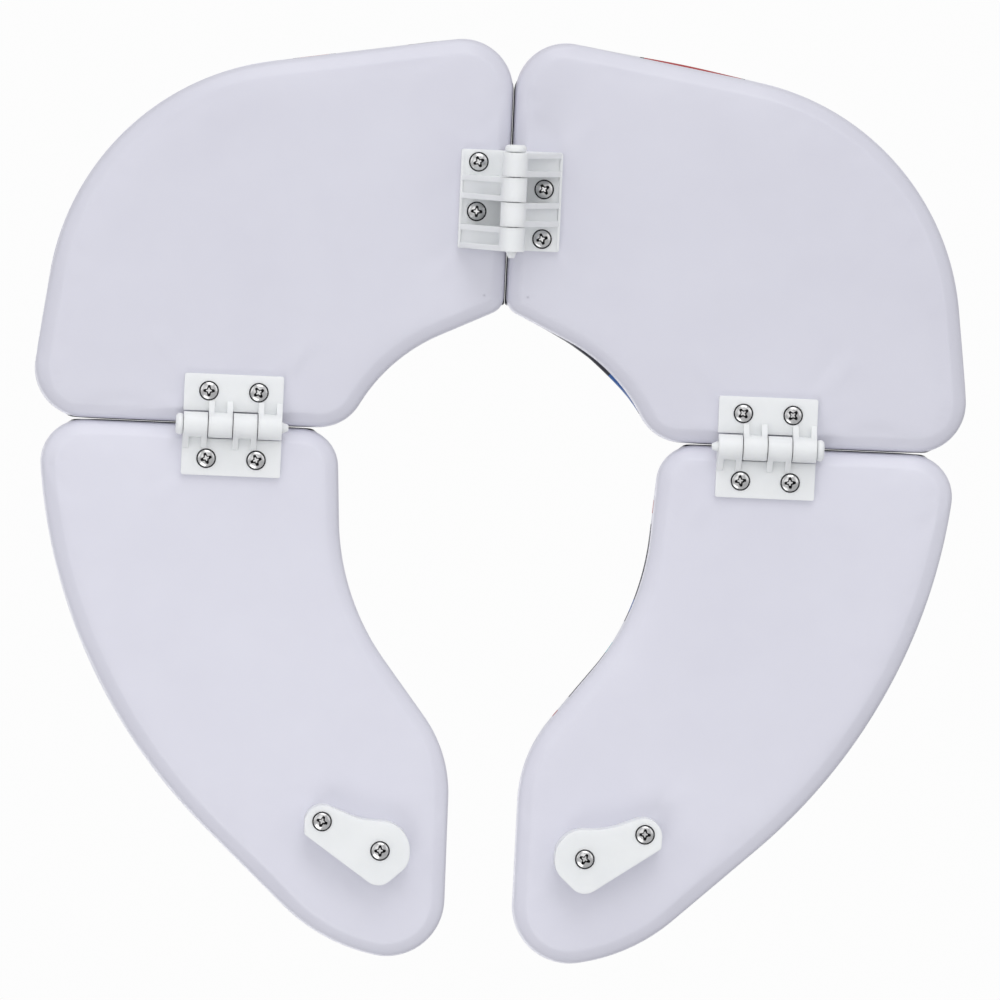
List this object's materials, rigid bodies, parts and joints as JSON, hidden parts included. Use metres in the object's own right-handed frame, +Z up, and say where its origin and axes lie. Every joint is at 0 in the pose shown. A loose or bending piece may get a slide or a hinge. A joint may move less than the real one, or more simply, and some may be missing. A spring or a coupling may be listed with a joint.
{
  "type": "folding travel potty seat",
  "caption": "Padded folding toilet-seat insert for a child: hinged vinyl panels round an open hole, with guide lugs underneath.",
  "frame": {"origin": "middle of the bounding box at its lowest point, which is the underside of the centre hinge; the underside of the panels, which lies on the toilet seat ring, is 32.4 mm above it", "axes": "+Z up, towards the sitting side, as in use; +Y towards the back, where the centre hinge is; the tails and the open slot are at -Y; +X to the right as seen from the tails"},
  "size_m": [0.3314, 0.3272, 0.0494],
  "materials": {
    "white_vinyl": "satin bluish white vinyl sheet, padded",
    "printed_vinyl": null,
    "board": "raw hardboard",
    "foam": "open-cell foam",
    "white_plastic": "satin moulded plastic",
    "screw_steel": "bright plated steel"
  },
  "bodies": {
    "rear_right": {"rear_right_base_board": "board", "rear_right_foam_pad": "foam", "rear_right_top_cover": "printed_vinyl", "rear_right_under_cover": "white_vinyl", "centre_hinge_right_leaf": "white_plastic", "centre_hinge_right_screws": "screw_steel", "right_hinge_rear_leaf": "white_plastic", "right_hinge_pin": "white_plastic", "right_hinge_rear_screws": "screw_steel"},
    "rear_left": {"rear_left_base_board": "board", "rear_left_foam_pad": "foam", "rear_left_top_cover": "printed_vinyl", "rear_left_under_cover": "white_vinyl", "centre_hinge_left_leaf": "white_plastic", "centre_hinge_pin": "white_plastic", "centre_hinge_left_screws": "screw_steel", "left_hinge_rear_leaf": "white_plastic", "left_hinge_pin": "white_plastic", "left_hinge_rear_screws": "screw_steel"},
    "leg_right": {"leg_right_base_board": "board", "leg_right_foam_pad": "foam", "leg_right_top_cover": "printed_vinyl", "leg_right_under_cover": "white_vinyl", "right_hinge_leg_leaf": "white_plastic", "right_hinge_leg_screws": "screw_steel", "right_guide_lug": "white_plastic", "right_lug_screws": "screw_steel"},
    "leg_left": {"leg_left_base_board": "board", "leg_left_foam_pad": "foam", "leg_left_top_cover": "printed_vinyl", "leg_left_under_cover": "white_vinyl", "left_hinge_leg_leaf": "white_plastic", "left_hinge_leg_screws": "screw_steel", "left_guide_lug": "white_plastic", "left_lug_screws": "screw_steel"}
  },
  "joints": [
    {"name": "centre_fold", "type": "hinge", "parent": "rear_right", "child": "rear_left", "pos_m": [0, 0.10727, 0.0045], "axis": [0, -1, 0], "range_deg": [0, 180]},
    {"name": "right_leg_fold", "type": "hinge", "parent": "rear_right", "child": "leg_right", "pos_m": [0.095, 0.02327, 0.0272], "axis": [1, 0, 0], "range_deg": [0, 180]},
    {"name": "left_leg_fold", "type": "hinge", "parent": "rear_left", "child": "leg_left", "pos_m": [-0.095, 0.02327, 0.0272], "axis": [1, 0, 0], "range_deg": [0, 180]}
  ]
}
